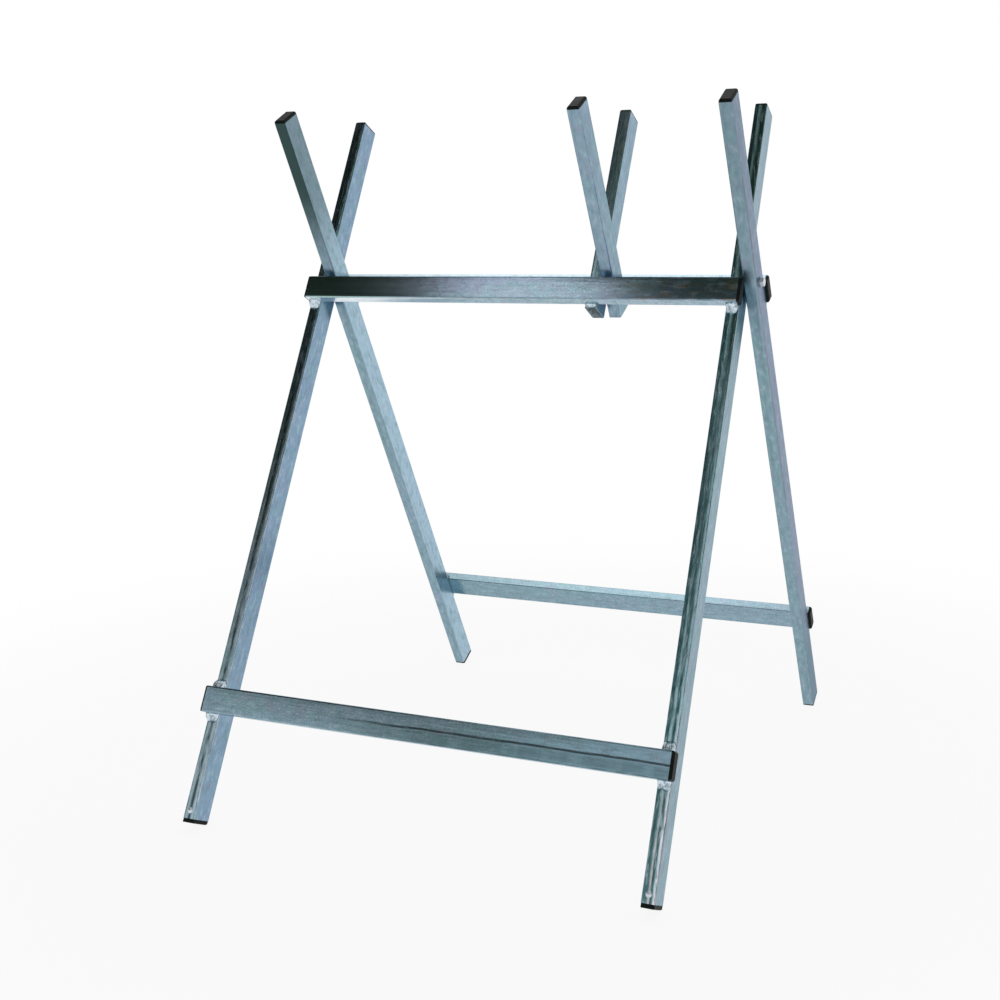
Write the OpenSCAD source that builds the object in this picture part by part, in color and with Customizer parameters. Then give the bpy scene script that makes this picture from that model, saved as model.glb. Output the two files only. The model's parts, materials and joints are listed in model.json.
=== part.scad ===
// Folding log saw stand: two welded frames of rectangular tube that cross on
// two bolts, open into a row of V supports and lean on each other's crossbars.
// Millimetres. +Z is up, X runs along the pivot line, the front is at -Y.
// The origin is on the ground, below the middle of the pivot line.

/* [Tube] */
// Wide side of the rectangular tube
tube_deep = 40; // [32:1:60]
// Narrow side of the rectangular tube
tube_wide = 20; // [16:1:30]
// Wall thickness of the tube
tube_wall = 1.2; // [1:0.1:2.5]
// Outer corner radius of the tube
tube_corner = 2.5; // [1.5:0.1:4]

/* [Frames] */
// Width of one frame over its two legs
frame_width = 755; // [500:5:1000]
// Length of a leg above the pivot
arm_length = 300.5; // [200:0.5:400]
// Length of a leg below the pivot
leg_length = 907; // [600:1:1100]
// Lean of each frame from upright, in degrees
lean = 28; // [20:0.5:35]
// Height of the middle of the brace above the lower end of the leg
brace_rise = 177; // [60:1:400]
// Place of the pair of centre arms along the pivot line
pair_offset = 138; // [-200:1:200]
// Length of a centre arm that sticks out below its crossbar
arm_tail = 5; // [4:0.5:40]
// Gap left between a crossbar and the legs that lean on it
stop_gap = 0.3; // [0.2:0.1:1]

/* [Plugs] */
// Thickness of the head of a top or bar plug
cap_thick = 4.5; // [3:0.5:12]
// Straight rim of a plug head below its bevel
cap_rim = 2; // [0.5:0.1:2.8]
// Width of the bevel round a plug head
cap_bevel = 2.5; // [1:0.5:6]
// Step from the tube's outside to the edge of a plug head
cap_step = 0.3; // [0.1:0.1:1]
// Length of a plug's shank inside the tube
shank_length = 22; // [15:1:40]
// Wall of the hollow shank
shank_wall = 1.8; // [1.2:0.1:2.5]
// Height of the gripping fins on a shank
fin_height = 2; // [1:0.1:3]
// Thickness of a gripping fin
fin_thick = 1.2; // [0.8:0.1:2]
// Number of gripping fins on a shank
fin_count = 3; // [2:1:5]
// Gap between a fin and the inside of the tube
fin_gap = 0.1; // [0.05:0.05:0.3]

/* [Feet] */
// Thickness of the head of a foot plug
foot_thick = 6; // [5:0.5:12]
// Bevel round the end of a foot plug
foot_bevel = 1; // [0.5:0.1:2]
// Depth of the level cut that a foot plug stands on
foot_cut = 2.5; // [1.5:0.1:5]
// Height of the rivet above the lower end of the tube
rivet_rise = 12; // [8:0.5:15]
// Diameter of a rivet's body
rivet_d = 4.8; // [3:0.1:6]
// Diameter of a rivet's dome
rivet_head_d = 9; // [7:0.5:12]
// Height of a rivet's dome
rivet_head_h = 2; // [1:0.1:3]
// Gap round a rivet's body
rivet_gap = 0.05; // [0.05:0.05:0.2]

/* [Pivot] */
// Diameter of the pivot bolt
bolt_d = 8; // [6:0.5:10]
// Width of the bolt's hexagon head across its flats
head_across = 13; // [12:0.5:17]
// Height of the bolt's head
head_height = 5.3; // [3:0.1:7]
// Gap all round the bolt in the bores that turn on it
bore_gap = 0.08; // [0.02:0.01:0.1]
// Gap between flat faces that turn past each other
side_gap = 0.3; // [0.2:0.05:0.5]
// Outside diameter of the washers
washer_d = 16; // [14:0.5:28]
// Thickness of the washers
washer_thick = 1.6; // [1:0.1:3]
// Gap between a washer and the bolt
washer_gap = 0.2; // [0.1:0.05:0.4]
// Width of the lock nut across its flats
nut_across = 13; // [12:0.5:17]
// Height of the lock nut's hexagon
nut_height = 6.5; // [5:0.5:9]
// Height of the round collar on the lock nut
collar_height = 2; // [1:0.1:3]
// Length of the bolt's end beyond the lock nut
bolt_end = 2.5; // [1:0.5:6]

/* [Welds] */
// Size of a weld bead
bead_size = 13; // [4:0.5:16]
// Distance from a leg's side to the end of its weld bead
bead_inset = 0.5; // [0:0.5:5]
// Share of a centre arm's tail that its weld bead takes
tail_bead_share = 0.9; // [0.5:0.05:0.95]

/* [Hidden] */
$fn = 48;
// Overrun of every cut
cut = 1;
// Turns of the two frames about the upright middle line
front_turn = 0;
rear_turn = 180;
// Colours of the finishes
zinc = [0.66, 0.72, 0.76];
bright_zinc = [0.82, 0.85, 0.88];
weld_grey = [0.74, 0.77, 0.78];
black_plastic = [0.07, 0.08, 0.08];

// Inside of the tube
inner_corner = max(tube_corner - tube_wall, tube_wall / 4);

// Places across the stand, as the front frame sees them
frame_gap = washer_thick + side_gap;
stand_width = frame_width + tube_wide + frame_gap;
outer_x = (tube_wide - stand_width) / 2;
inner_x = outer_x + frame_width - tube_wide;
bar_x = -stand_width / 2;
front_arm_x = pair_offset - (frame_gap + tube_wide) / 2;
rear_arm_x = -pair_offset - (frame_gap + tube_wide) / 2;

// Places along the leg: the crossbar's round edge just clears the legs that
// cross in front of it when the stand is fully open
fold = 2 * lean;
edge_y = tube_deep / 2 + tube_corner;
edge_drop = (edge_y * (1 - cos(fold)) + stop_gap) / sin(fold);
bar_drop = tube_deep / 2 - tube_corner + edge_drop;
brace_drop = leg_length - brace_rise;
bar_y = -(tube_deep + tube_wide) / 2;
arm_low = bar_drop + tube_deep / 2 + arm_tail;
arm_bead = min(bead_size, arm_tail * tail_bead_share);

// Height of the pivot: the inner edge of each foot plug is cut level
foot_edge = tube_deep / 2 - cap_step;
pivot_z = (leg_length + foot_thick) * cos(lean) + foot_edge * sin(lean) - foot_cut;
ground = 2 * (leg_length + frame_width);

// Places along the bolt, from the outer face of the outer leg
nut_x = 2 * tube_wide + frame_gap + side_gap + washer_thick;
bolt_length = nut_x + nut_height + collar_height + bolt_end;

// Rivet: through the tube wall, past the fins and through the shank's wall
rivet_length = tube_wall + fin_gap + fin_height + 2 * shank_wall;
rivet_z = rivet_rise - leg_length;

// Carries a piece from its frame's own place, upright with the pivot at zero,
// to where the open stand holds it
module on_frame(turn) {
  rotate([0, 0, turn])
    translate([0, 0, pivot_z])
      rotate([-lean, 0, 0])
        children();
}

// Rectangle with round corners
module outline(wide, deep, corner) {
  square([wide - 2 * corner, deep], center = true);
  square([wide, deep - 2 * corner], center = true);
  for (x = [-1, 1], y = [-1, 1])
    translate([x * (wide / 2 - corner), y * (deep / 2 - corner)])
      circle(r = corner);
}

// Straight piece of tube, standing on its lower end
module tube(wide, deep, length) {
  linear_extrude(length)
    difference() {
      outline(wide, deep, tube_corner);
      outline(wide - 2 * tube_wall, deep - 2 * tube_wall, inner_corner);
    }
}

// Side view of a plug head with bevelled edges
module bevel_profile(wide, thick, rim, bevel) {
  polygon([
    [-wide / 2, 0], [wide / 2, 0], [wide / 2, rim],
    [wide / 2 - bevel, thick], [bevel - wide / 2, thick], [-wide / 2, rim]
  ]);
}

// Head of a plug, standing on the end of the tube
module plug_head(wide, deep, thick, rim, bevel) {
  head_wide = wide - 2 * cap_step;
  head_deep = deep - 2 * cap_step;
  intersection() {
    linear_extrude(thick)
      outline(head_wide, head_deep, tube_corner);
    rotate([90, 0, 0])
      linear_extrude(deep, center = true)
        bevel_profile(head_wide, thick, rim, bevel);
    rotate([90, 0, 90])
      linear_extrude(wide, center = true)
        bevel_profile(head_deep, thick, rim, bevel);
  }
}

// Hollow shank with gripping fins, hanging below the head
module plug_shank(wide, deep, length) {
  fin_wide = wide - 2 * (tube_wall + fin_gap);
  fin_deep = deep - 2 * (tube_wall + fin_gap);
  core_wide = fin_wide - 2 * fin_height;
  core_deep = fin_deep - 2 * fin_height;
  pitch = length / fin_count;
  difference() {
    union() {
      translate([0, 0, -length])
        linear_extrude(length)
          square([core_wide, core_deep], center = true);
      for (i = [1 : fin_count])
        translate([0, 0, -i * pitch])
          linear_extrude(fin_thick)
            outline(fin_wide, fin_deep, inner_corner);
    }
    translate([0, 0, -length - cut])
      linear_extrude(length + cut - shank_wall)
        square([core_wide - 2 * shank_wall, core_deep - 2 * shank_wall], center = true);
  }
}

module plug(wide, deep) {
  plug_head(wide, deep, cap_thick, cap_rim, cap_bevel);
  plug_shank(wide, deep, shank_length);
}

// Hole across a leg for the pivot bolt
module pivot_bore(x) {
  translate([x, 0, 0])
    rotate([0, 90, 0])
      cylinder(d = bolt_d + 2 * bore_gap, h = tube_wide + 2 * cut, center = true);
}

// Hole for a foot plug's rivet, in from the front of the leg
module rivet_bore(x) {
  translate([x, -tube_deep / 2 - cut, rivet_z])
    rotate([-90, 0, 0])
      cylinder(d = rivet_d + 2 * rivet_gap, h = rivet_length + 2 * cut);
}

// Leg with the holes for its bolt and for its foot plug's rivet
module leg(x) {
  difference() {
    translate([x, 0, -leg_length])
      tube(tube_wide, tube_deep, leg_length + arm_length);
    pivot_bore(x);
    rivet_bore(x);
  }
}

// Bar across the front of a frame's legs, at a distance below the pivot
module bar(drop) {
  translate([bar_x, bar_y, -drop])
    rotate([0, 90, 0])
      tube(tube_deep, tube_wide, frame_width);
}

module mid_arm(x) {
  translate([x, 0, -arm_low])
    tube(tube_wide, tube_deep, arm_low + arm_length);
}

module top_plug(x) {
  translate([x, 0, arm_length])
    plug(tube_wide, tube_deep);
}

// Plug in the end of a bar, on the outer leg's side or the inner leg's side
module outer_bar_plug(drop) {
  translate([bar_x, bar_y, -drop])
    rotate([0, -90, 0])
      plug(tube_deep, tube_wide);
}

module inner_bar_plug(drop) {
  translate([bar_x + frame_width, bar_y, -drop])
    rotate([0, 90, 0])
      plug(tube_deep, tube_wide);
}

// Foot plug, cut level where it stands on the ground
module foot_plug(turn, x) {
  difference() {
    on_frame(turn)
      difference() {
        translate([x, 0, -leg_length])
          rotate([0, 180, 0])
            union() {
              plug_head(tube_wide, tube_deep, foot_thick, foot_thick - foot_bevel, foot_bevel);
              plug_shank(tube_wide, tube_deep, shank_length);
            }
        rivet_bore(x);
      }
    translate([0, 0, -ground / 2])
      cube(ground, center = true);
  }
}

// Round cap of a ball, standing on its flat side
module dome(across, height) {
  ball = (height * height + across * across / 4) / (2 * height);
  rotate_extrude()
    intersection() {
      translate([0, height - ball])
        circle(r = ball);
      square([across / 2, height]);
    }
}

// Domed rivet through the front of each leg into its foot plug
module rivet(x) {
  translate([x, -tube_deep / 2, rivet_z])
    rotate([90, 0, 0])
      union() {
        dome(rivet_head_d, rivet_head_h);
        translate([0, 0, -rivet_length])
          cylinder(d = rivet_d, h = rivet_length + rivet_head_h / 2);
      }
}

module foot_rivets() {
  rivet(outer_x);
  rivet(inner_x);
}

// Quarter-round weld bead in the corner under or over a bar
module bead(x, drop, side, size) {
  corner_z = side * tube_deep / 2 - drop;
  translate([x, -tube_deep / 2, corner_z])
    rotate([90, 0, 90])
      linear_extrude(tube_wide - 2 * bead_inset, center = true)
        intersection() {
          circle(r = size);
          translate([-size, (side - 1) / 2 * size])
            square(size);
        }
}

module weld_beads(arm_x) {
  for (x = [outer_x, inner_x]) {
    bead(x, bar_drop, -1, bead_size);
    bead(x, brace_drop, -1, bead_size);
    bead(x, brace_drop, 1, bead_size);
  }
  bead(arm_x, bar_drop, -1, arm_bead);
}

// Depth to which the corners of a hexagon are turned off
function turned(across) = across / 2 / cos(30) - across / 2;

// Hexagon with its corners turned off, standing on one end
module hexagon(across, height) {
  corner = across / 2 + turned(across);
  slope = turned(across) / 2;
  intersection() {
    linear_extrude(height)
      polygon([for (i = [0 : 5]) corner * [cos(60 * i), sin(60 * i)]]);
    rotate_extrude()
      polygon([
        [0, 0], [across / 2, 0], [corner, slope],
        [corner, height - slope], [across / 2, height], [0, height]
      ]);
  }
}

// Hexagon bolt along the pivot line, with its head outside the head washer
module pivot_bolt() {
  translate([bar_x - washer_thick - head_height, 0, 0])
    rotate([0, 90, 0])
      union() {
        hexagon(head_across, head_height);
        translate([0, 0, head_height / 2])
          cylinder(d = bolt_d, h = head_height / 2 + washer_thick + bolt_length);
      }
}

module washer(x) {
  translate([bar_x + x, 0, 0])
    rotate([0, 90, 0])
      linear_extrude(washer_thick)
        difference() {
          circle(d = washer_d);
          circle(d = bolt_d + 2 * washer_gap);
        }
}

// Hexagon nut with a round collar for the locking ring
module lock_nut() {
  translate([bar_x + nut_x, 0, 0])
    rotate([0, 90, 0])
      difference() {
        union() {
          hexagon(nut_across, nut_height);
          cylinder(d = nut_across - turned(nut_across), h = nut_height + collar_height);
        }
        translate([0, 0, -cut])
          cylinder(d = bolt_d + 2 * bore_gap, h = nut_height + collar_height + 2 * cut);
      }
}

// Front frame
module front_leg_left() color(zinc) on_frame(front_turn) leg(outer_x);
module front_leg_right() color(zinc) on_frame(front_turn) leg(inner_x);
module front_crossbar() color(zinc) on_frame(front_turn) bar(bar_drop);
module front_brace() color(zinc) on_frame(front_turn) bar(brace_drop);
module front_mid_arm() color(zinc) on_frame(front_turn) mid_arm(front_arm_x);
module front_weld_beads() color(weld_grey) on_frame(front_turn) weld_beads(front_arm_x);
module front_top_plug_left() color(black_plastic) on_frame(front_turn) top_plug(outer_x);
module front_top_plug_right() color(black_plastic) on_frame(front_turn) top_plug(inner_x);
module front_mid_plug() color(black_plastic) on_frame(front_turn) top_plug(front_arm_x);
module front_crossbar_plug_left() color(black_plastic) on_frame(front_turn) outer_bar_plug(bar_drop);
module front_crossbar_plug_right() color(black_plastic) on_frame(front_turn) inner_bar_plug(bar_drop);
module front_brace_plug_left() color(black_plastic) on_frame(front_turn) outer_bar_plug(brace_drop);
module front_brace_plug_right() color(black_plastic) on_frame(front_turn) inner_bar_plug(brace_drop);
module front_foot_plug_left() color(black_plastic) foot_plug(front_turn, outer_x);
module front_foot_plug_right() color(black_plastic) foot_plug(front_turn, inner_x);
module front_foot_rivets() color(bright_zinc) on_frame(front_turn) foot_rivets();

// Rear frame, the same but turned round, so its outer leg is on the right
module rear_leg_left() color(zinc) on_frame(rear_turn) leg(inner_x);
module rear_leg_right() color(zinc) on_frame(rear_turn) leg(outer_x);
module rear_crossbar() color(zinc) on_frame(rear_turn) bar(bar_drop);
module rear_brace() color(zinc) on_frame(rear_turn) bar(brace_drop);
module rear_mid_arm() color(zinc) on_frame(rear_turn) mid_arm(rear_arm_x);
module rear_weld_beads() color(weld_grey) on_frame(rear_turn) weld_beads(rear_arm_x);
module rear_top_plug_left() color(black_plastic) on_frame(rear_turn) top_plug(inner_x);
module rear_top_plug_right() color(black_plastic) on_frame(rear_turn) top_plug(outer_x);
module rear_mid_plug() color(black_plastic) on_frame(rear_turn) top_plug(rear_arm_x);
module rear_crossbar_plug_left() color(black_plastic) on_frame(rear_turn) inner_bar_plug(bar_drop);
module rear_crossbar_plug_right() color(black_plastic) on_frame(rear_turn) outer_bar_plug(bar_drop);
module rear_brace_plug_left() color(black_plastic) on_frame(rear_turn) inner_bar_plug(brace_drop);
module rear_brace_plug_right() color(black_plastic) on_frame(rear_turn) outer_bar_plug(brace_drop);
module rear_foot_plug_left() color(black_plastic) foot_plug(rear_turn, inner_x);
module rear_foot_plug_right() color(black_plastic) foot_plug(rear_turn, outer_x);
module rear_foot_rivets() color(bright_zinc) on_frame(rear_turn) foot_rivets();

// Pivots: each bolt goes in from the outer leg, on the left the front frame's,
// on the right the rear frame's
module pivot_bolt_left() color(bright_zinc) on_frame(front_turn) pivot_bolt();
module head_washer_left() color(bright_zinc) on_frame(front_turn) washer(-washer_thick);
module spacer_washer_left() color(bright_zinc) on_frame(front_turn) washer(tube_wide);
module nut_washer_left() color(bright_zinc) on_frame(front_turn) washer(nut_x - washer_thick);
module lock_nut_left() color(bright_zinc) on_frame(front_turn) lock_nut();
module pivot_bolt_right() color(bright_zinc) on_frame(rear_turn) pivot_bolt();
module head_washer_right() color(bright_zinc) on_frame(rear_turn) washer(-washer_thick);
module spacer_washer_right() color(bright_zinc) on_frame(rear_turn) washer(tube_wide);
module nut_washer_right() color(bright_zinc) on_frame(rear_turn) washer(nut_x - washer_thick);
module lock_nut_right() color(bright_zinc) on_frame(rear_turn) lock_nut();

front_leg_left();
front_leg_right();
front_crossbar();
front_brace();
front_mid_arm();
front_weld_beads();
front_top_plug_left();
front_top_plug_right();
front_mid_plug();
front_crossbar_plug_left();
front_crossbar_plug_right();
front_brace_plug_left();
front_brace_plug_right();
front_foot_plug_left();
front_foot_plug_right();
front_foot_rivets();
rear_leg_left();
rear_leg_right();
rear_crossbar();
rear_brace();
rear_mid_arm();
rear_weld_beads();
rear_top_plug_left();
rear_top_plug_right();
rear_mid_plug();
rear_crossbar_plug_left();
rear_crossbar_plug_right();
rear_brace_plug_left();
rear_brace_plug_right();
rear_foot_plug_left();
rear_foot_plug_right();
rear_foot_rivets();
pivot_bolt_left();
head_washer_left();
spacer_washer_left();
nut_washer_left();
lock_nut_left();
pivot_bolt_right();
head_washer_right();
spacer_washer_right();
nut_washer_right();
lock_nut_right();
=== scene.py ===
"""Looks of the folding saw stand: plated tube, black plugs, welds, light and camera."""

import json
import math
import random
from collections import namedtuple

import bmesh
import bpy
from mathutils import Matrix, Vector


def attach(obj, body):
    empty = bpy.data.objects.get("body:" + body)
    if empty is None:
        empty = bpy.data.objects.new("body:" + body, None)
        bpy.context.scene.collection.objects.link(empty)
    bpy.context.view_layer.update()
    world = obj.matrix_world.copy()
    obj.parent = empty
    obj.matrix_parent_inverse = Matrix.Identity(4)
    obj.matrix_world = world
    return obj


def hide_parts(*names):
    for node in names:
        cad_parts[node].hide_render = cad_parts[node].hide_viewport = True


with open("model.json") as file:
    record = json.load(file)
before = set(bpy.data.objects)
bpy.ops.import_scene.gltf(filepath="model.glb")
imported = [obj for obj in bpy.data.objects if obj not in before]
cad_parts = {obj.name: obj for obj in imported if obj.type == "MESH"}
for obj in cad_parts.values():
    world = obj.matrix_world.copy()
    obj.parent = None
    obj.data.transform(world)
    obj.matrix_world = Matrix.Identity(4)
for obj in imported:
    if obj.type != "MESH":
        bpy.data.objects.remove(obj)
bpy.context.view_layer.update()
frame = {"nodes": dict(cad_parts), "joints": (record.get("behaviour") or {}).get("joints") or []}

MM = 0.001

# Sizes of the stand that the looks need, as in the part's source
LEAN = math.radians(28)
TUBE_DEEP = 40 * MM
TUBE_WIDE = 20 * MM
TUBE_WALL = 1.2 * MM
FRAME_WIDTH = 755 * MM
BAR_DROP = 29.83 * MM
BRACE_DROP = 730 * MM
LEG_GAP = 1.9 * MM
PAIR_OFFSET = 138 * MM
BEAD_SIZE = 13 * MM
ARM_BEAD_SIZE = 4.5 * MM
BEAD_LENGTH = 19 * MM
PIVOT = Vector(frame["joints"][0]["pos_m"])

STAND_WIDTH = FRAME_WIDTH + TUBE_WIDE + LEG_GAP
OUTER_X = (TUBE_WIDE - STAND_WIDTH) / 2
INNER_X = OUTER_X + FRAME_WIDTH - TUBE_WIDE
ARM_STEP = (LEG_GAP + TUBE_WIDE) / 2
ACROSS = Vector((1, 0, 0))


class Side:
    """One frame: the way up its legs, the way out of its bars and its legs' places.
    turn is 1 for the front frame and -1 for the rear one, which is turned half round."""

    def __init__(self, name, turn):
        self.name = name
        self.body = name + "_frame"
        self.up = Vector((0, turn * math.sin(LEAN), math.cos(LEAN)))
        self.out = Vector((0, -turn * math.cos(LEAN), math.sin(LEAN)))
        self.legs = (turn * OUTER_X, turn * INNER_X)
        self.arm = PAIR_OFFSET - turn * ARM_STEP


FRONT = Side("front", 1)
REAR = Side("rear", -1)

# A straight tube: the way along it, the way out of its outward face, the way out of
# its shown side, a point on its middle line, and how far its faces are from that line
Tube = namedtuple("Tube", "way out side centre reach_out reach_wide")


def leg_tube(side, x):
    centre = PIVOT + ACROSS * x
    return Tube(side.up, side.out, ACROSS, centre, TUBE_DEEP / 2, TUBE_WIDE / 2)


def bar_tube(side, drop):
    centre = PIVOT + side.out * (TUBE_DEEP + TUBE_WIDE) / 2 - side.up * drop
    shown = ACROSS.cross(side.out)
    return Tube(ACROSS, side.out, shown, centre, TUBE_WIDE / 2, TUBE_DEEP / 2)


# Node trees


class Value:
    """A socket's value. Sums, differences and products of values add Math nodes."""

    def __init__(self, graph, socket):
        self.graph = graph
        self.socket = socket

    def math(self, operation, *others):
        sockets = dict(enumerate((self,) + others))
        return self.graph.add("ShaderNodeMath", {"operation": operation}, sockets)

    def __add__(self, other):
        return self.math("ADD", other)

    def __mul__(self, other):
        return self.math("MULTIPLY", other)

    __radd__ = __add__
    __rmul__ = __mul__

    def __sub__(self, other):
        return self.math("SUBTRACT", other)

    def __rsub__(self, other):
        return self * -1.0 + other

    def size(self):
        return self.math("ABSOLUTE")

    def top(self, other):
        return self.math("MAXIMUM", other)

    def step(self, start, end):
        """0 below start, 1 above end and a smooth rise between them."""
        settings = {"interpolation_type": "SMOOTHSTEP"}
        sockets = {"Value": self, "From Min": start, "From Max": end}
        return self.graph.add("ShaderNodeMapRange", settings, sockets)

    def drop(self, start, end):
        """1 below start, 0 above end and a smooth fall between them."""
        return 1.0 - self.step(start, end)


class Graph:
    """A node tree, filled by one method."""

    def __init__(self, tree):
        self.tree = tree
        tree.nodes.clear()

    def add(self, kind, settings=None, sockets=None, output=0):
        node = self.tree.nodes.new(kind)
        for name, setting in (settings or {}).items():
            if name == "stops":
                self.set_stops(node.color_ramp, setting)
            else:
                setattr(node, name, setting)
        for key, value in (sockets or {}).items():
            if isinstance(value, Value):
                self.tree.links.new(value.socket, node.inputs[key])
            else:
                node.inputs[key].default_value = value
        return Value(self, node.outputs[output]) if node.outputs else None

    @staticmethod
    def set_stops(ramp, stops):
        while len(ramp.elements) < len(stops):
            ramp.elements.new(1.0)
        for element, (place, colour) in zip(ramp.elements, stops):
            element.position = place
            element.color = colour

    def mix(self, factor, first, second):
        sockets = {0: factor, 6: first, 7: second}
        return self.add("ShaderNodeMix", {"data_type": "RGBA"}, sockets, 2)

    def dot(self, vector, direction):
        sockets = {0: vector, 1: tuple(direction)}
        return self.add("ShaderNodeVectorMath", {"operation": "DOT_PRODUCT"}, sockets, 1)

    def join(self, x, y, z):
        return self.add("ShaderNodeCombineXYZ", None, {0: x, 1: y, 2: z})

    def noise(self, vector, scale, detail=3.0, rough=0.5):
        sockets = {"Vector": vector, "Scale": scale, "Detail": detail, "Roughness": rough}
        return self.add("ShaderNodeTexNoise", None, sockets)

    def place(self):
        return self.add("ShaderNodeTexCoord", None, None, 3)


class Finish(Graph):
    """A material and its node tree."""

    def __init__(self, name):
        self.material = bpy.data.materials.new(name)
        self.material.use_nodes = True
        super().__init__(self.material.node_tree)

    def bump(self, height):
        """The normal of a surface with this height, in metres."""
        return self.add("ShaderNodeBump", None, {"Height": height, "Distance": 1.0})

    def output(self, shader):
        self.add("ShaderNodeOutputMaterial", None, {"Surface": shader})
        return self.material

    def surface(self, sockets):
        return self.output(self.add("ShaderNodeBsdfPrincipled", None, sockets))


def grey(level):
    return (level, level, level, 1.0)


# Colours of the plating

STEEL_BLUE = (0.235, 0.368, 0.425, 1)
LAVENDER = (0.300, 0.375, 0.535, 1)
PINK = (0.335, 0.350, 0.450, 1)
TARNISH = (0.420, 0.300, 0.180, 1)
EDGE_TINT = (0.800, 0.850, 0.920, 1)

# Painted glint: a corner highlight on the left legs and a bright reflection on the crossbar's
# shown side
PAINTED_GLINT = (0.900, 0.940, 0.950, 1)
DULL_ZINC = (0.700, 0.760, 0.780, 1)
# Pale zinc of the plating's mottles and spangle, also used for painted glints: pale stripes,
# flecks and the crossbar's shown side
PALE_ZINC_AND_GLINT = (0.520, 0.660, 0.720, 1)
DARK_DRAW = (0.120, 0.175, 0.185, 1)
# Dark of seams and dark lines, also painted along the bars' edges as shade
SEAM_AND_EDGE_SHADE = (0.028, 0.042, 0.044, 1)
# Painted shade: the dark that the inward face gets towards the top of a tube
TOP_SHADE_DARK = (0.030, 0.060, 0.055, 1)

# Colours of painted reflection stripes, glints and shade; teal is also a blot of the plating, and
# drawn teal and clear blue are tones over whole faces
PALE_TEAL = (0.430, 0.690, 0.780, 1)
TEAL = (0.220, 0.385, 0.405, 1)
DRAWN_TEAL = (0.165, 0.320, 0.345, 1)
DEEP_TEAL = (0.085, 0.190, 0.210, 1)
DARK_TEAL = (0.028, 0.075, 0.072, 1)
GREEN = (0.180, 0.420, 0.400, 1)
MOSS = (0.270, 0.500, 0.450, 1)

CLEAR_BLUE = (0.340, 0.560, 0.690, 1)
SLATE = (0.090, 0.185, 0.240, 1)
ROSE_WHITE = (0.980, 0.840, 0.920, 1)
ROSE = (0.600, 0.560, 0.580, 1)
MAUVE = (0.280, 0.270, 0.340, 1)
MAROON = (0.130, 0.080, 0.100, 1)

# Painted reflection tones of the legs' shown sides
BLUE_SIDE = (0.225, 0.345, 0.490, 1)
GREY_SIDE = (0.262, 0.378, 0.405, 1)
PALE_SIDE = (0.410, 0.580, 0.700, 1)
LILAC_SIDE = (0.212, 0.262, 0.370, 1)

# Colours of the other finishes

FASTENER_PALE = (0.80, 0.86, 0.92, 1)
FASTENER_GREY = (0.62, 0.70, 0.78, 1)
# Washers: duller zinc than the bolts, darkened further as painted shade round the bolt heads
WASHER_PALE = (0.45, 0.51, 0.57, 1)
WASHER_GREY = (0.28, 0.33, 0.38, 1)
WELD_PALE = (0.66, 0.75, 0.82, 1)
WELD_GREY = (0.30, 0.39, 0.45, 1)
WELD_PIT = (0.05, 0.05, 0.04, 1)
PLUG_BLACK = (0.003, 0.007, 0.006, 1)
PLUG_SMEAR = (0.008, 0.014, 0.012, 1)
PLUG_SPARK = (0.02, 0.028, 0.026, 1)

# Lines along the tubes: seams and dark lines, painted reflection stripes, glints and shade

# A line along a tube's outward face, or its shown side: its place across the face, its
# half width, its colour, how strong it is, how much its breaks take away, where along
# the tube it starts and ends, and whether it is on the side
LINE_FIELDS = "place width colour share breaks start end on_side"
Line = namedtuple("Line", LINE_FIELDS, defaults=(0.7, -2.0, 2.0, False))

# The half width of a line that covers its whole face
BROAD = 36.0 * MM

# The length in which a line fades at its start and end
FADE = 200 * MM

# Left legs: painted reflection stripes on the outward face, dark teal bands, pale and green
# stripes and a glint at the corner, and a dark line near the middle
LEFT_LINES = (
    Line(-2.0 * MM, 9.0 * MM, DARK_TEAL, 0.60, start=-0.55),
    Line(-2.0 * MM, 9.0 * MM, DARK_TEAL, 0.25, end=-0.35),
    Line(-4.6 * MM, 2.8 * MM, PALE_ZINC_AND_GLINT, 0.50, breaks=0.5, end=-0.18),
    Line(-8.6 * MM, 2.4 * MM, GREEN, 0.40),
    Line(0.6 * MM, 2.4 * MM, SEAM_AND_EDGE_SHADE, 0.85),
    Line(5.5 * MM, 4.0 * MM, DARK_TEAL, 0.60, breaks=0.4, start=-0.36),
    Line(6.0 * MM, 2.4 * MM, PALE_ZINC_AND_GLINT, 0.60, end=-0.18),
    Line(9.4 * MM, 0.9 * MM, PAINTED_GLINT, 0.50, end=-0.10),
)
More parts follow.
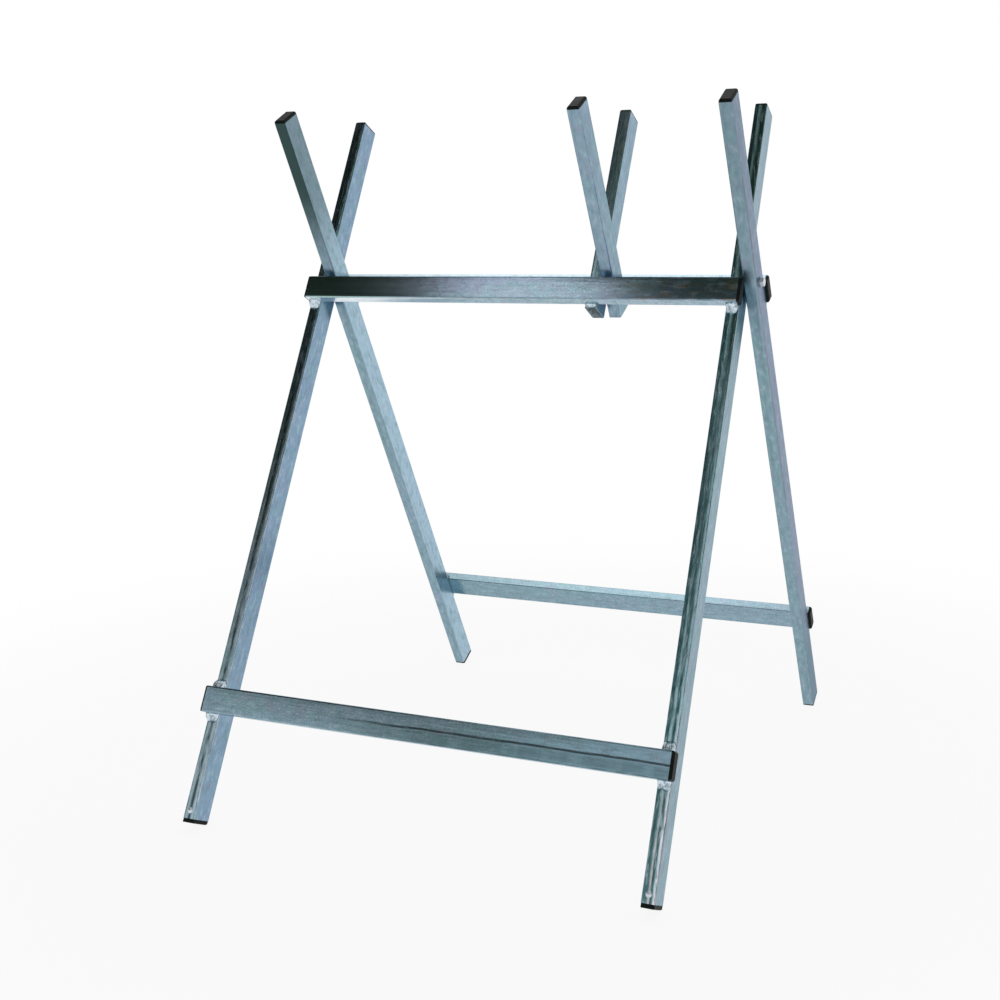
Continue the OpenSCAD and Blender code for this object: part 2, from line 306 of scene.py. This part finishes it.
# Right legs: a teal tone over the outward face, and painted reflection stripes on it in deep and
# dark teal, pale teal, rose, rose white and mauve
RIGHT_LINES = (
    Line(0.0, BROAD, DRAWN_TEAL, 0.85, breaks=0.2),
    Line(-5.8 * MM, 3.8 * MM, DEEP_TEAL, 0.95, breaks=0.3),
    Line(-5.8 * MM, 3.8 * MM, DARK_TEAL, 0.70, breaks=0.4, start=-0.30),
    Line(-4.4 * MM, 3.8 * MM, DARK_TEAL, 0.45, breaks=0.4, end=-0.62),
    Line(-1.6 * MM, 2.6 * MM, PALE_TEAL, 0.90, breaks=0.5, start=-0.86, end=-0.38),
    Line(0.2 * MM, 2.4 * MM, ROSE, 0.75, breaks=0.5, end=-0.66),
    Line(1.4 * MM, 2.4 * MM, DARK_TEAL, 0.60, breaks=0.4, start=-0.66, end=-0.20),
    Line(3.2 * MM, 2.4 * MM, DARK_TEAL, 0.80, breaks=0.4, end=-0.42),
    Line(-0.9 * MM, 2.2 * MM, PALE_TEAL, 0.75, breaks=0.5, start=-0.25),
    Line(5.6 * MM, 4.4 * MM, DARK_TEAL, 0.95, breaks=0.3, start=-0.24),
    Line(7.4 * MM, 2.6 * MM, PALE_TEAL, 0.85, breaks=0.4, end=-0.14),
    Line(8.0 * MM, 2.2 * MM, ROSE_WHITE, 0.80, breaks=0.4, end=-0.62),
    Line(9.8 * MM, 1.0 * MM, MAUVE, 0.80, breaks=0.4, end=-0.36),
)
# The rear right leg also has a painted maroon reflection stripe on its shown side, and painted
# shade darkening that side towards the foot
REAR_RIGHT_LINES = RIGHT_LINES + (
    Line(-16.0 * MM, 4.5 * MM, MAROON, 0.50, start=-0.50, end=0.30, on_side=True),
    Line(0.0, BROAD, SLATE, 0.95, breaks=0.2, end=-0.62, on_side=True),
)
# Braces: a bluer tone over the right part; painted shade over the half of the outward face next to
# the shown side, and along both edges; a dark seam along the middle
BRACE_LINES = (
    Line(0.0, BROAD, CLEAR_BLUE, 0.55, start=0.02),
    Line(11.0 * MM, 12.0 * MM, DARK_TEAL, 0.50, breaks=0.3, start=-0.20),
    Line(19.0 * MM, 2.0 * MM, DARK_TEAL, 0.60, breaks=0.4, start=-0.20),
    Line(0.0, 2.4 * MM, SEAM_AND_EDGE_SHADE, 0.90, breaks=0.2, start=-0.22),
    Line(-20.0 * MM, 2.4 * MM, SEAM_AND_EDGE_SHADE, 0.60, breaks=0.4),
)
# Painted shade: a dark line along the edge of a bar's outward face, away from its shown side
BAR_EDGE = Line(-20.0 * MM, 2.8 * MM, SEAM_AND_EDGE_SHADE, 0.80, breaks=0.2)
# Crossbar: a pink tone over most of the outward face; painted reflection tones at its ends, moss
# at the left and dark teal at the right; a painted glint over the shown side towards the left; and
# the painted edge shade
CROSSBAR_LINES = (
    Line(0.0, BROAD, PINK, 0.35, end=0.30),
    Line(0.0, BROAD, MOSS, 0.75, breaks=0.3, end=-0.13),
    Line(0.0, BROAD, DARK_TEAL, 0.70, start=0.12),
    Line(0.0, BROAD, PAINTED_GLINT, 0.90, breaks=0.2, end=-0.06, on_side=True),
    BAR_EDGE,
)
ARM_LINES = (Line(0.0, 2.0 * MM, SEAM_AND_EDGE_SHADE, 0.40),)

# Looks of the tubes

# The look of a tube: the share of lavender, the strengths of the mottles, of the fine
# spangle and of the tarnish, the heights of the flecks on the outward face, which also set
# their painted glints, and of the waves, the slopes of the crown at the edges and of the lip
# at the shown edge, the painted reflection tone of the shown side and its share, how dull
# the plating is, how much painted shade darkens the inward face towards its top, the lines
LOOK_FIELDS = "blush mottle spangle tarnish flecks waves crown lip tint tinted dull dusk lines"
Look = namedtuple("Look", LOOK_FIELDS)

LEFT_LEG = Look(
    blush=0.6,
    mottle=0.32,
    spangle=0.12,
    tarnish=0.1,
    flecks=0.35 * MM,
    waves=0.25 * MM,
    crown=0.05,
    lip=0.15,
    tint=BLUE_SIDE,
    tinted=0.75,
    dull=0.15,
    dusk=0.0,
    lines=LEFT_LINES,
)
RIGHT_LEG = LEFT_LEG._replace(
    blush=0.3,
    flecks=0.48 * MM,
    waves=0.4 * MM,
    crown=0.08,
    lip=0.0,
    tint=GREY_SIDE,
    lines=RIGHT_LINES,
)
MID_ARM = RIGHT_LEG._replace(blush=0.4, flecks=0.30 * MM, tinted=0.0, lines=ARM_LINES)
CROSSBAR = LEFT_LEG._replace(
    blush=0.95,
    mottle=0.30,
    spangle=0.50,
    tarnish=0.5,
    flecks=0.05 * MM,
    waves=0.12 * MM,
    crown=0.02,
    lip=0.0,
    tint=PALE_ZINC_AND_GLINT,
    tinted=0.8,
    dull=0.09,
    lines=CROSSBAR_LINES,
)
BRACE = CROSSBAR._replace(
    blush=0.3,
    mottle=0.25,
    spangle=0.40,
    tarnish=0.0,
    tinted=0.35,
    dull=0.12,
    lines=BRACE_LINES,
)
LOOKS = {
    "front_leg_left": LEFT_LEG,
    "front_leg_right": RIGHT_LEG,
    "rear_leg_left": LEFT_LEG._replace(
        blush=0.4, tint=PALE_SIDE, tinted=0.85, dull=0.22, dusk=0.95
    ),
    "rear_leg_right": RIGHT_LEG._replace(
        blush=0.2, tint=LILAC_SIDE, tinted=0.9, dull=0.26, dusk=0.2, lines=REAR_RIGHT_LINES
    ),
    "front_mid_arm": MID_ARM,
    "rear_mid_arm": MID_ARM._replace(dull=0.22),
    "front_crossbar": CROSSBAR,
    "rear_crossbar": CROSSBAR._replace(lines=(BAR_EDGE,)),
    "front_brace": BRACE,
    "rear_brace": BRACE._replace(tinted=0.2),
}

# Finishes


class PlatedTube(Finish):
    """Bright zinc on drawn tube, in the tube's own directions: seams and painted reflection
    stripes along it, painted glints and shade, cloudy tints, shallow waves, slightly crowned faces
    and a dull inside."""

    def __init__(self, name, tube, look):
        super().__init__(name)
        self.tube = tube
        self.look = look
        self.spot = self.place()
        self.run = self.along(tube.way)
        self.rise = self.along(tube.out)
        self.breadth = self.along(tube.side)
        rim = 1.0 * MM
        self.outward = self.rise.step(tube.reach_out - 2 * rim, tube.reach_out - rim)
        self.inward = self.rise.drop(rim - tube.reach_out, 2 * rim - tube.reach_out)
        self.shown = self.breadth.step(tube.reach_wide - rim, tube.reach_wide)
        self.wander = (self.track(70 * MM, 0.5) - 0.5) * (4.5 * MM)
        self.cloud = self.streaks(200 * MM, 70 * MM, 4.0)
        self.drawn = self.streaks(400 * MM, 3 * MM)
        self.fleck = self.streaks(22 * MM, 3.2 * MM, 2.0)
        self.blot = self.noise(self.spot, 55.0, 4.0, 0.62)
        self.grain = self.noise(self.spot, 900.0, 2.0, 0.6)

    def along(self, way):
        return self.dot(self.spot, way) - self.tube.centre.dot(way)

    def streaks(self, length, width, detail=3.0):
        """Noise in streaks of about this length and width."""
        run, rise, breadth = self.run, self.rise, self.breadth
        stretched = self.join(run * (1 / length), rise * (1 / width), breadth * (1 / width))
        return self.noise(stretched, 1.0, detail, 0.55)

    def track(self, length, row):
        """Noise that changes only along the tube. Each row has its own."""
        return self.noise(self.join(self.run * (1 / length), row, 0.0), 1.0, 2.0)

    def stripe_and_seam(self, line, row):
        """The share of a wandering, broken line at each spot of its face."""
        across, face = self.breadth, self.outward
        if line.on_side:
            across, face = self.rise, self.shown
        if line.width == BROAD:
            wear = self.streaks(24 * MM, 8 * MM)
        else:
            wear = self.track(28 * MM, 7.3 * row)
        off = (across - self.wander - line.place).size()
        kept = 1.0 - wear.drop(0.34, 0.54) * line.breaks
        extent = self.run.step(line.start, line.start + FADE) * face
        extent = extent * self.run.drop(line.end - FADE, line.end)
        return off.drop(line.width * 0.35, line.width) * kept * extent * line.share

    def inside(self):
        """1 on the inner faces of the tube."""
        deep = self.rise.size() - self.tube.reach_out
        wide = self.breadth.size() - self.tube.reach_wide
        return deep.top(wide).drop(-0.95 * TUBE_WALL, -0.75 * TUBE_WALL)

    def plating(self):
        """The colour of the zinc with its clouds, blots, mottles and spangle, and a painted
        reflection tone on its shown side.
        """
        look, blot = self.look, self.blot
        mottle = self.streaks(16 * MM, 7 * MM)
        spangle = self.noise(self.spot, 420.0, 2.0, 0.6)
        base = self.mix(self.cloud.step(0.36, 0.62) * look.blush, STEEL_BLUE, LAVENDER)
        # Painted reflection tone over the shown side
        base = self.mix(self.shown * look.tinted, base, look.tint)
        base = self.mix(blot.step(0.46, 0.72) * 0.5, base, TEAL)
        base = self.mix(blot.drop(0.30, 0.46) * 0.5, base, PINK)
        base = self.mix(self.drawn.step(0.54, 0.78) * 0.35, base, DARK_DRAW)
        base = self.mix(mottle.step(0.50, 0.72) * look.mottle, base, PALE_ZINC_AND_GLINT)
        base = self.mix(mottle.drop(0.28, 0.50) * look.mottle, base, DARK_DRAW)
        base = self.mix(spangle.step(0.54, 0.70) * look.spangle, base, PALE_ZINC_AND_GLINT)
        return self.mix(spangle.drop(0.32, 0.46) * look.spangle, base, DARK_DRAW)

    def marked(self, base):
        """That colour with tarnish, painted shade on the inward face, the seams and painted
        stripes, and painted glint flecks.
        """
        look, fleck = self.look, self.fleck
        stain = self.streaks(34 * MM, 9 * MM).step(0.48, 0.64) * self.outward
        stain = stain * self.run.size().step(0.12, 0.28) * look.tarnish
        base = self.mix(stain, base, TARNISH)
        # Painted shade: the inward face, and the shown side more lightly, darkened towards the top
        dusk = self.run.step(-0.01, 0.19) * self.inward.top(self.shown * 0.55)
        base = self.mix(dusk * look.dusk, base, TOP_SHADE_DARK)
        for row, line in enumerate(look.lines):
            base = self.mix(self.stripe_and_seam(line, row), base, line.colour)
        # Painted glints and dark reflection flecks over the outward face
        speckle = self.outward * (look.flecks / MM)
        base = self.mix(fleck.step(0.54, 0.66) * speckle, base, PALE_ZINC_AND_GLINT)
        return self.mix(fleck.drop(0.34, 0.46) * speckle, base, DARK_TEAL)

    def height(self):
        """Waves, flecks and grain on faces that are crowned and fall off at the lip."""
        look, breadth = self.look, self.breadth
        half = self.tube.reach_wide / 2
        lip = (breadth - half).top(0.0)
        rolled = self.streaks(250 * MM, 9 * MM, 2.0)
        height = rolled * look.waves + self.fleck * (self.outward * look.flecks)
        height = height + self.drawn * (0.01 * MM) + self.grain * (0.004 * MM)
        height = height - breadth * breadth * (look.crown / (2 * self.tube.reach_wide))
        return height - lip * lip * (look.lip / (2 * half))

    def finish(self):
        hollow = self.inside()
        base = self.marked(self.plating())
        dull = self.look.dull + self.cloud * 0.08 + self.drawn * 0.08
        dull = dull + self.grain.step(0.55, 0.8) * 0.05
        return self.surface(
            {
                "Base Color": self.mix(hollow * self.blot.step(0.40, 0.56), base, DULL_ZINC),
                "Metallic": 1.0 - hollow * 0.8,
                "Roughness": dull + hollow * 0.25,
                "Specular Tint": EDGE_TINT,
                "Normal": self.bump(self.height()),
            }
        )


def plated_fastener(name, pale, dark):
    finish = Finish(name)
    spot = finish.place()
    cloud = finish.noise(spot, 120.0, 3.0, 0.6)
    grain = finish.noise(spot, 1400.0, 2.0, 0.6)
    return finish.surface(
        {
            "Base Color": finish.mix(cloud.step(0.4, 0.7), pale, dark),
            "Metallic": 0.7,
            "Roughness": 0.30 + cloud * 0.10 + grain * 0.06,
            "Normal": finish.bump(grain * (0.01 * MM)),
        }
    )


def weld_metal():
    finish = Finish("weld_metal")
    spot = finish.place()
    cloud = finish.noise(spot, 170.0, 3.0, 0.55)
    pits = finish.noise(spot, 420.0, 2.0, 0.5)
    base = finish.mix(cloud.step(0.42, 0.60), WELD_PALE, WELD_GREY)
    return finish.surface(
        {
            "Base Color": finish.mix(pits.step(0.66, 0.74) * 0.9, base, WELD_PIT),
            "Metallic": 1.0,
            "Roughness": 0.16 + cloud * 0.10,
            "Normal": finish.bump(cloud * (1.0 * MM) + pits * (0.03 * MM)),
        }
    )


def black_plastic():
    finish = Finish("black_plastic")
    spot = finish.place()
    spark = finish.noise(spot, 2200.0, 2.0, 0.5)
    smear = finish.noise(spot, 90.0, 4.0, 0.6)
    base = finish.mix(smear.step(0.42, 0.72), PLUG_BLACK, PLUG_SMEAR)
    return finish.surface(
        {
            "Base Color": finish.mix(spark.step(0.66, 0.78) * 0.5, base, PLUG_SPARK),
            "Roughness": 0.40 + smear * 0.18,
            "Specular IOR Level": 0.10,
            "Normal": finish.bump(spark * (0.03 * MM)),
        }
    )


def floor_paper():
    """White paper: mostly its own white where it is seen, the rest lit, with shadows."""
    finish = Finish("floor_paper")
    spot = finish.place()
    fibre = finish.noise(spot, 40.0, 3.0, 0.6)
    white = finish.mix(fibre.step(0.3, 0.7), grey(0.92), grey(0.95))
    camera, glossy, through = (
        finish.add("ShaderNodeLightPath", None, None, ray)
        for ray in ("Is Camera Ray", "Is Glossy Ray", "Is Transmission Ray")
    )
    seen = camera.top(glossy).top(through)
    spread = finish.add("ShaderNodeVectorMath", {"operation": "LENGTH"}, {0: spot}, 1)
    share = seen * (0.90 + spread.step(0.7, 1.8) * 0.10)
    paper = finish.add("ShaderNodeBsdfDiffuse", None, {"Color": white})
    shine = finish.add("ShaderNodeEmission", None, {"Color": grey(1.0), "Strength": 1.0})
    return finish.output(finish.add("ShaderNodeMixShader", None, {0: share, 1: paper, 2: shine}))


# Weld beads

BEAD_RINGS = 52
BEAD_STEPS = 12
BEAD_SWELLS = 9
RIPPLE_LENGTH = 2.6 * MM
THINNEST_BEAD = 0.4 * MM


def weld_bead(side, x, drop, down, size, seed):
    """A rippled run of weld in the corner of a bar and a leg, with rounded ends.
    Its arc goes from the bar's face round to the leg's face."""
    draws = random.Random(seed)
    swells = [draws.uniform(-0.12, 0.12) for _ in range(BEAD_SWELLS)]
    fall = side.up * (-1 if down else 1)
    corner = PIVOT + ACROSS * x + side.out * (TUBE_DEEP / 2) - side.up * drop
    corner += fall * (TUBE_DEEP / 2)
    bead = bmesh.new()
    rings = []
    for number in range(BEAD_RINGS + 1):
        share = number / BEAD_RINGS
        end = max(0.0, 1 - abs(2 * share - 1) ** 5) ** 0.5
        place = share * (BEAD_SWELLS - 1)
        first = min(int(place), BEAD_SWELLS - 2)
        swell = swells[first] + (swells[first + 1] - swells[first]) * (place - first)
        ring = [bead.verts.new(corner + ACROSS * ((share - 0.5) * BEAD_LENGTH))]
        for step in range(BEAD_STEPS + 1):
            angle = step / BEAD_STEPS * math.pi / 2
            flat = 1 / (math.cos(angle) + math.sin(angle))
            bow = math.sin(2 * angle)
            phase = share * BEAD_LENGTH / RIPPLE_LENGTH + 0.42 * bow
            ripple = 1 - (phase - math.floor(phase))
            reach = size * (0.35 * flat + 0.65) * (1 + swell * bow)
            reach += 0.09 * size * (ripple - 0.5) * bow
            reach = max(reach * end, THINNEST_BEAD)
            point = side.out * (math.cos(angle) * reach) + fall * (math.sin(angle) * reach)
            ring.append(bead.verts.new(ring[0].co + point))
        rings.append(ring)
    for ring, later in zip(rings, rings[1:]):
        for here in range(BEAD_STEPS + 2):
            there = (here + 1) % (BEAD_STEPS + 2)
            bead.faces.new((ring[here], ring[there], later[there], later[here]))
    bead.faces.new(rings[0])
    bead.faces.new(rings[-1])
    bmesh.ops.recalc_face_normals(bead, faces=bead.faces)
    return bead


def weld_piece(side, finish):
    """All the weld beads of one frame as one piece."""
    places = ((BAR_DROP, True), (BRACE_DROP, True), (BRACE_DROP, False))
    runs = [(x, drop, down, BEAD_SIZE) for x in side.legs for drop, down in places]
    runs.append((side.arm, BAR_DROP, True, ARM_BEAD_SIZE))
    whole = bmesh.new()
    for number, run in enumerate(runs):
        bead = weld_bead(side, *run, seed=11 + 7 * number)
        mesh = bpy.data.meshes.new("run")
        bead.to_mesh(mesh)
        bead.free()
        whole.from_mesh(mesh)
        bpy.data.meshes.remove(mesh)
    mesh = bpy.data.meshes.new(side.name + "_welds")
    whole.to_mesh(mesh)
    whole.free()
    for polygon in mesh.polygons:
        polygon.use_smooth = True
    mesh.materials.append(finish)
    piece = bpy.data.objects.new(side.name + "_welds", mesh)
    bpy.context.scene.collection.objects.link(piece)
    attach(piece, side.body)
    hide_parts(side.name + "_weld_beads")


# Finishes on the solids

SEAM_REACH = 0.02 * MM
PLUG_BEVEL = 0.5 * MM


def dress(node, finish):
    piece = frame["nodes"][node]
    if not piece.material_slots:
        piece.data.materials.append(finish)
    for slot in piece.material_slots:
        slot.material = finish


def join_seams(node):
    """Joins the points of a solid's faces where these meet."""
    seams = frame["nodes"][node].modifiers.new("seams", "WELD")
    seams.merge_threshold = SEAM_REACH


def soften(node):
    """Takes the sharpness off a moulded piece's edges."""
    join_seams(node)
    bevel = frame["nodes"][node].modifiers.new("bevel", "BEVEL")
    bevel.width = PLUG_BEVEL
    bevel.segments = 2
    bevel.limit_method = "ANGLE"
    bevel.angle_limit = math.radians(25)


def dress_stand():
    plug_finish = black_plastic()
    fastener_zinc = plated_fastener("bright_fastener", FASTENER_PALE, FASTENER_GREY)
    shaded_washer_zinc = plated_fastener("dull_shaded_washer", WASHER_PALE, WASHER_GREY)
    weld_finish = weld_metal()
    for side in (FRONT, REAR):
        outer, inner = (leg_tube(side, x) for x in side.legs)
        left, right = (outer, inner) if side is FRONT else (inner, outer)
        tubes = {
            "leg_left": left,
            "leg_right": right,
            "mid_arm": leg_tube(side, side.arm),
            "crossbar": bar_tube(side, BAR_DROP),
            "brace": bar_tube(side, BRACE_DROP),
        }
        for part, tube in tubes.items():
            node = f"{side.name}_{part}"
            dress(node, PlatedTube(node + "_zinc", tube, LOOKS[node]).finish())
        weld_piece(side, weld_finish)
    for node in frame["nodes"]:
        if "plug" in node:
            dress(node, plug_finish)
            soften(node)
        elif "washer" in node:
            dress(node, shaded_washer_zinc)
        elif "bolt" in node or "nut" in node or "rivets" in node:
            dress(node, fastener_zinc)
            join_seams(node)


# Stage, light and camera


def make_floor():
    reach = 60.0
    corners = [(-reach, -reach, 0), (reach, -reach, 0), (reach, reach, 0), (-reach, reach, 0)]
    mesh = bpy.data.meshes.new("floor")
    mesh.from_pydata(corners, [], [(0, 1, 2, 3)])
    mesh.materials.append(floor_paper())
    floor = bpy.data.objects.new("floor", mesh)
    bpy.context.scene.collection.objects.link(floor)


# Levels of the room by height, from the horizon at 0 to straight up at 1

WHITE = 1.0
FRONT_LEFT = (
    (0.0, WHITE),
    (0.30, WHITE),
    (0.40, 0.92),
    (0.455, 0.74),
    (0.48, 0.42),
    (0.50, 0.16),
    (0.57, 0.03),
    (0.63, 0.01),
    (0.80, 0.005),
    (1.0, 0.70),
)
FRONT_RIGHT = (
    (0.0, WHITE),
    (0.42, WHITE),
    (0.50, 0.80),
    (0.58, 0.60),
    (0.66, 0.40),
    (0.73, 0.32),
    (0.77, 0.14),
    (0.85, 0.10),
    (1.0, 0.70),
)
BESIDE = ((0.0, WHITE), (0.17, WHITE), (0.22, 0.12), (0.6, 0.06), (1.0, 0.70))
OVER_BACK = ((0.0, WHITE), (0.40, WHITE), (0.70, 0.90), (1.0, 0.70))


def shade(level):
    """A grey of the room, a little green where it is dark."""
    red = level * min(1.0, 0.80 + 0.60 * level)
    blue = level * min(1.0, 0.50 + 1.6 * level)
    return (red, level, blue, 1.0)


def make_room():
    """White round the horizon. The ceiling is pale behind and dark over the front,
    darkest over the left, and the room is dark beside the stand."""
    world = bpy.data.worlds.new("room")
    world.use_nodes = True
    bpy.context.scene.world = world
    graph = Graph(world.node_tree)
    way = graph.add("ShaderNodeTexCoord", None, None, 0)
    height = graph.dot(way, (0, 0, 1))
    left, right, sides, back = (
        graph.add("ShaderNodeValToRGB", {"stops": [(h, shade(v)) for h, v in levels]}, {0: height})
        for levels in (FRONT_LEFT, FRONT_RIGHT, BESIDE, OVER_BACK)
    )
    across = graph.dot(way, (1, 0, 0))
    front = graph.mix(across.step(-0.50, -0.22), left, right)
    front = graph.mix(across.size().step(0.62, 0.80), front, sides)
    depth = graph.dot(way, (0, 1, 0)) - across.size() * 0.7
    room = graph.mix(depth.step(-0.30, 0.20), front, back)
    light = graph.add("ShaderNodeBackground", None, {"Color": room, "Strength": 1.0})
    graph.add("ShaderNodeOutputWorld", None, {"Surface": light})


def soft_light(name, place, target, wide, tall, level):
    """A softbox. level is what it adds in a mirror to what is behind it, with white at 1."""
    lamp = bpy.data.lights.new(name, "AREA")
    lamp.shape = "RECTANGLE"
    lamp.size = wide
    lamp.size_y = tall
    lamp.energy = level * math.pi * wide * tall
    holder = bpy.data.objects.new(name, lamp)
    holder.location = place
    aim = Vector(target) - Vector(place)
    holder.rotation_euler = aim.to_track_quat("-Z", "Y").to_euler()
    holder.visible_camera = False
    bpy.context.scene.collection.objects.link(holder)


def make_lights():
    soft_light(
        "front_panel",
        place=(-1.02, -1.47, 2.60),
        target=(0, -0.04, 0.79),
        wide=0.54,
        tall=0.45,
        level=1.45,
    )
    soft_light(
        "top_panel",
        place=(-1.10, 1.40, 3.20),
        target=(0, 0.3, 0.4),
        wide=2.0,
        tall=1.2,
        level=0.85,
    )


# The camera's place, its angles in radians, its focal length and shifts in widths of
# the sensor, worked out from the tubes' edges in the photograph
CAMERA_PLACE = Vector((0.91115, -2.01092, PIVOT.z + 0.08989))
CAMERA_YAW = -0.3876
CAMERA_PITCH = -0.1359
CAMERA_ROLL = -0.0136
CAMERA_FOCUS = 1.34884
CAMERA_SHIFT = (-0.0803, -0.0907)


def make_camera():
    level = math.cos(CAMERA_PITCH)
    forward = Vector(
        (
            math.sin(CAMERA_YAW) * level,
            math.cos(CAMERA_YAW) * level,
            math.sin(CAMERA_PITCH),
        )
    )
    right = forward.cross(Vector((0, 0, 1))).normalized()
    up = right.cross(forward)
    tipped_right = right * math.cos(CAMERA_ROLL) + up * math.sin(CAMERA_ROLL)
    tipped_up = up * math.cos(CAMERA_ROLL) - right * math.sin(CAMERA_ROLL)
    lens = bpy.data.cameras.new("camera")
    lens.sensor_width = 36.0
    lens.lens = CAMERA_FOCUS * lens.sensor_width
    lens.shift_x, lens.shift_y = CAMERA_SHIFT
    lens.clip_end = 200.0
    camera = bpy.data.objects.new("camera", lens)
    matrix = Matrix((tipped_right, tipped_up, -forward)).transposed().to_4x4()
    matrix.translation = CAMERA_PLACE
    camera.matrix_world = matrix
    bpy.context.scene.collection.objects.link(camera)
    bpy.context.scene.camera = camera


dress_stand()
make_floor()
make_room()
make_lights()
make_camera()
bpy.context.scene.view_settings.view_transform = "Standard"
